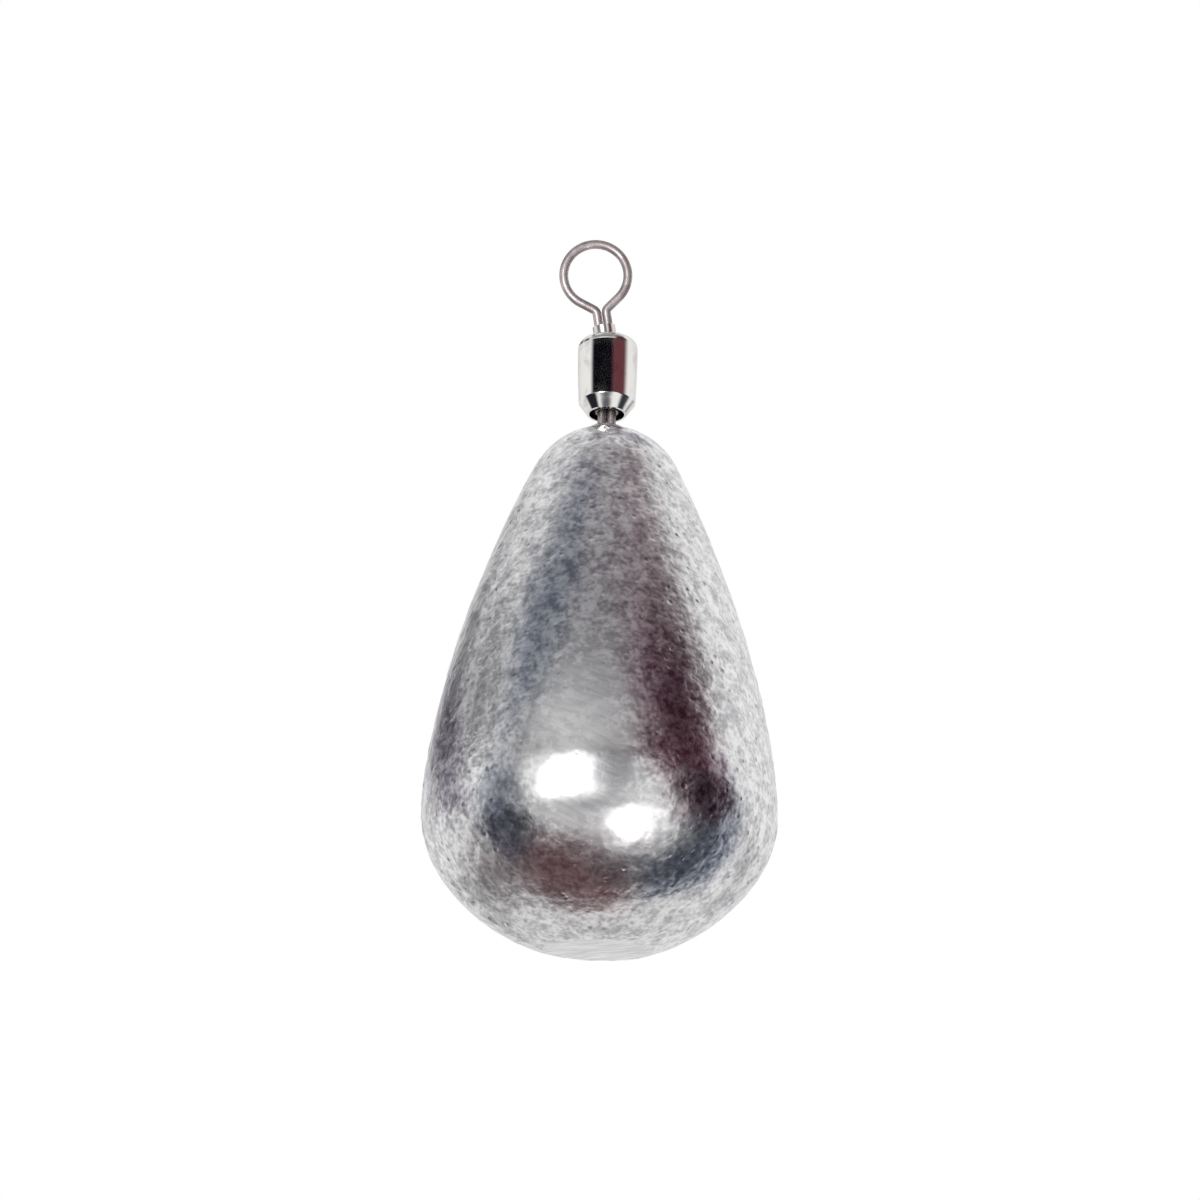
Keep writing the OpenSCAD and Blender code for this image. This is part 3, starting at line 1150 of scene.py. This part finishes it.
@dataclass
class Studio:
    """Camera, lamps, room and floor. Lengths are in millimetres, angles in degrees."""

    elevation: float = -24.0
    roll: float = 1.05
    distance: float = 600.0
    frame_width: float = 64.38
    middle: tuple[float, float, float] = (0.55, 0.91, -18.86)
    lit_middle: tuple[float, float, float] = (0.7, 0.8, -31.0)
    sensor: float = 36.0
    fill: Colour = (0.78, 0.78, 0.79)
    floor_z: float = -560.0
    floor_r: float = 4000.0
    floor_cloud_mm: float = 60.0
    floor_colours: tuple[Colour, Colour] = ((0.93, 0.93, 0.92), (0.90, 0.90, 0.895))
    floor_glow: float = 0.7
    lamps: tuple[Lamp, ...] = (
        Lamp("key_lamp", -22, 15, 20, 35, 7.0),
        Lamp("low_lamp", 20, -30, 13, 9, 14.0),
    )
    shades: tuple[Shade, ...] = (
        Shade(0, 88, 60, 34, (0.225, 0.205, 0.22), 0.3),
        Shade(-8, 68, 34, 14, (0.28, 0.275, 0.295), 0.4),
        Shade(-88, 56, 30, 24, (0.29, 0.305, 0.335), 0.3),
        Shade(-110, 28, 24, 16, (0.13, 0.135, 0.155), 0.3),
        Shade(-140, 8, 22, 20, (0.07, 0.065, 0.08), 0.4),
        Shade(176, 84, 50, 14, (0.45, 0.45, 0.47), 0.3),
        Shade(165, -64, 50, 20, (0.78, 0.77, 0.77), 0.3),
        Shade(-60, 4, 26, 30, (0.21, 0.22, 0.24), 0.4),
        Shade(-4, -17, 40, 12, (0.145, 0.145, 0.165), 0.4),
        Shade(-110, -44, 34, 18, (0.24, 0.22, 0.22), 0.3),
        Shade(-20, -62, 58, 36, (0.18, 0.13, 0.14), 0.6),
        Shade(-64, -27, 30, 15, (0.02, 0.02, 0.028), 0.5),
        Shade(40, -58, 40, 18, (0.07, 0.075, 0.09), 0.5),
        Shade(74, -36, 26, 26, (0.08, 0.09, 0.11), 0.5),
        Shade(10, 20, 18, 40, (0.20, 0.20, 0.22), 0.4),
        Shade(88, 62, 34, 22, (0.32, 0.265, 0.285), 0.3),
        Shade(72, 42, 32, 26, (0.065, 0.040, 0.052), 0.5),
        Shade(70, 2, 32, 36, (0.014, 0.010, 0.014), 0.6),
    )
    strips: tuple[Strip, ...] = (
        Strip(60, 176, 22, 5, (1.0, 1.0, 1.0)),
        Strip(-152, -50, 22, 4.5, (1.0, 1.0, 1.0)),
        Strip(0, 78, 21.7, 5.2, (0.15, 0.05, 0.06), 14.0),
        Strip(-64, 20, 21.7, 5.2, (0.004, 0.0035, 0.006), 10.0),
        Strip(124, 158, -10, 5, (0.40, 0.40, 0.41), 12.0),
        Strip(-170, -146, -10, 5, (0.20, 0.20, 0.21), 8.0),
    )

    def axes(self) -> tuple[Vector, Vector, Vector]:
        """Find how the camera stands, before its roll.

        Returns:
            The ways to the camera, to its right and up.
        """
        e = radians(self.elevation)
        return Vector((0, -cos(e), sin(e))), Vector((1, 0, 0)), Vector((0, sin(e), cos(e)))

    def way(self, right: float, up: float) -> Vector:
        """Turn two angles into a way.

        Args:
            right: degrees to the camera's right.
            up: degrees above the camera.

        Returns:
            The way, one unit long.
        """
        back, side, top = self.axes()
        a, b = radians(right), radians(up)
        return back * cos(a) * cos(b) + side * sin(a) * cos(b) + top * sin(b)

    def facing(self, way: Vector) -> Matrix:
        """Find the turn that puts Z along a way and X level in the camera's picture.

        Args:
            way: the way, one unit long.

        Returns:
            The turn.
        """
        side = self.axes()[2].cross(way).normalized()
        return Matrix((side, way.cross(side), way)).transposed().to_4x4()

    def set_camera(self) -> None:
        """Stand the camera at the photographed angle and make it the scene's own."""
        back, side, top = self.axes()
        data = bpy.data.cameras.new("photo_camera")
        data.sensor_width = self.sensor
        data.lens = self.sensor * self.distance / self.frame_width
        data.clip_start, data.clip_end = 0.01, 20.0
        camera = bpy.data.objects.new("photo_camera", data)
        bpy.context.scene.collection.objects.link(camera)
        turn = Matrix((side, top, back)).transposed().to_4x4()
        place = (Vector(self.middle) + back * self.distance) * MM
        camera.matrix_world = Matrix.Translation(place) @ turn @ Matrix.Rotation(radians(self.roll), 4, "Z")
        bpy.context.scene.camera = camera

    def hang_lamps(self) -> None:
        """Hang each lamp where its light falls on the belly."""
        target = Vector(self.lit_middle) * MM
        for lamp in self.lamps:
            way = self.way(lamp.right, lamp.up)
            data = bpy.data.lights.new(lamp.name, "AREA")
            data.shape = "ELLIPSE"
            data.size = 2 * lamp.reach_mm * tan(radians(lamp.width / 2)) * MM
            data.size_y = 2 * lamp.reach_mm * tan(radians(lamp.height / 2)) * MM
            data.energy = lamp.radiance * pi * pi * data.size * data.size_y / 4
            holder = bpy.data.objects.new(lamp.name, data)
            bpy.context.scene.collection.objects.link(holder)
            holder.matrix_world = Matrix.Translation(target + way * lamp.reach_mm * MM) @ self.facing(way)
            holder.visible_camera = False

    def paint_room(self) -> None:
        """Light the part from a white room whose dark things show only in its reflections."""
        room = RoomSheet("white_room")
        bpy.context.scene.world = room.world
        colour: Any = (1.0, 1.0, 1.0)
        for shade in self.shades:
            turn = self.facing(self.way(shade.right, shade.up))
            colour = room.tint(room.patch(shade, turn), colour, shade.colour)
        for strip in self.strips:
            colour = room.tint(room.band(strip), colour, strip.colour)
        path = room.add("ShaderNodeLightPath")
        colour = room.tint(path.outputs["Is Glossy Ray"], self.fill, colour)
        colour = room.tint(path.outputs["Is Camera Ray"], colour, (1.0, 1.0, 1.0))
        glow = room.add("ShaderNodeBackground")
        room.feed(glow, "Color", colour)
        room.feed(room.add("ShaderNodeOutputWorld"), "Surface", glow.outputs["Background"])

    def lay_floor(self) -> None:
        """Lay a pale floor far enough below that the camera stands over it."""
        bpy.ops.object.select_all(action="DESELECT")
        bpy.ops.mesh.primitive_circle_add(
            vertices=96, radius=self.floor_r * MM, fill_type="NGON", location=(0, 0, self.floor_z * MM)
        )
        floor = bpy.context.object
        floor.name = "floor"
        sheet = ShaderSheet("pale_floor")
        matt = sheet.add("ShaderNodeBsdfDiffuse")
        cloud = sheet.grain(self.floor_cloud_mm, 2)
        sheet.feed(matt, "Color", sheet.tint(cloud, *self.floor_colours))
        glow = sheet.add("ShaderNodeEmission")
        mix = sheet.add("ShaderNodeMixShader")
        seen = sheet.add("ShaderNodeLightPath").outputs["Is Camera Ray"]
        sheet.feed(mix, "Fac", sheet.sum("MULTIPLY", seen, self.floor_glow))
        sheet.feed(mix, 1, matt.outputs["BSDF"])
        sheet.feed(mix, 2, glow.outputs["Emission"])
        sheet.feed(sheet.add("ShaderNodeOutputMaterial"), "Surface", mix.outputs["Shader"])
        floor.data.materials.append(sheet.material)
        floor.visible_glossy = False

    def build(self) -> None:
        """Set up everything that isn't part of the object."""
        bpy.context.scene.view_settings.view_transform = "Standard"
        self.set_camera()
        self.hang_lamps()
        self.paint_room()
        self.lay_floor()
        log.info("studio: camera at %.0f degrees, %d lamps", self.elevation, len(self.lamps))


def main() -> None:
    """Build the studio and the pieces, in order."""
    logging.basicConfig(level=logging.INFO, format="%(name)s: %(message)s", stream=sys.stdout)
    Studio().build()
    LeadCasting().build(CastLead())
    wire = DrawnWire()
    for end in End:
        WireEye(end).build(wire)
    SwivelBody().dress()


if __name__ == "__main__":
    main()
